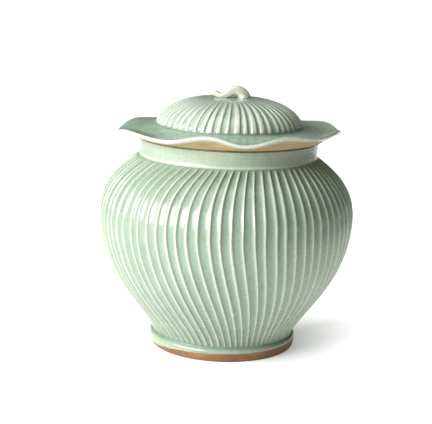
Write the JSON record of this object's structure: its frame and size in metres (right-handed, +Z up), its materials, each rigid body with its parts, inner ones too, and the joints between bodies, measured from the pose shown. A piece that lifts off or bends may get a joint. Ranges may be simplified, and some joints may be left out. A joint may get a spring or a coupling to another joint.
{
  "type": "lidded stoneware jar",
  "caption": "Round-bellied celadon jar with carved upright ribs, a short upright neck, a turned foot and a lift-off lotus-leaf lid with a curled stalk knob.",
  "frame": {"origin": "centre of the foot, on the floor that the jar stands on", "axes": "+Z up along the jar's axis, -Y towards the side that the picture shows"},
  "size_m": [0.26, 0.26, 0.2676],
  "materials": {
    "celadon_glaze": "thick glossy sea-green glaze, paler where it runs thin over the ribs",
    "pale_glaze": "thin glossy pale green glaze",
    "bare_clay": "unglazed stoneware, toasted orange-brown"
  },
  "bodies": {
    "jar": {"foot_ring": "bare_clay", "foot_roll": "celadon_glaze", "base_disc": "celadon_glaze", "lower_wall": "celadon_glaze", "upper_wall": "celadon_glaze", "neck_collar": "celadon_glaze", "lip_ring": "bare_clay"},
    "lid": {"lid_dome": "celadon_glaze", "leaf_brim": "celadon_glaze", "locating_ring": "bare_clay", "stem_knob": "pale_glaze"}
  },
  "joints": [
    {"name": "lid_lift", "type": "slide", "parent": "jar", "child": "lid", "axis": [0, 0, 1], "range_m": [0, 0.15]}
  ]
}
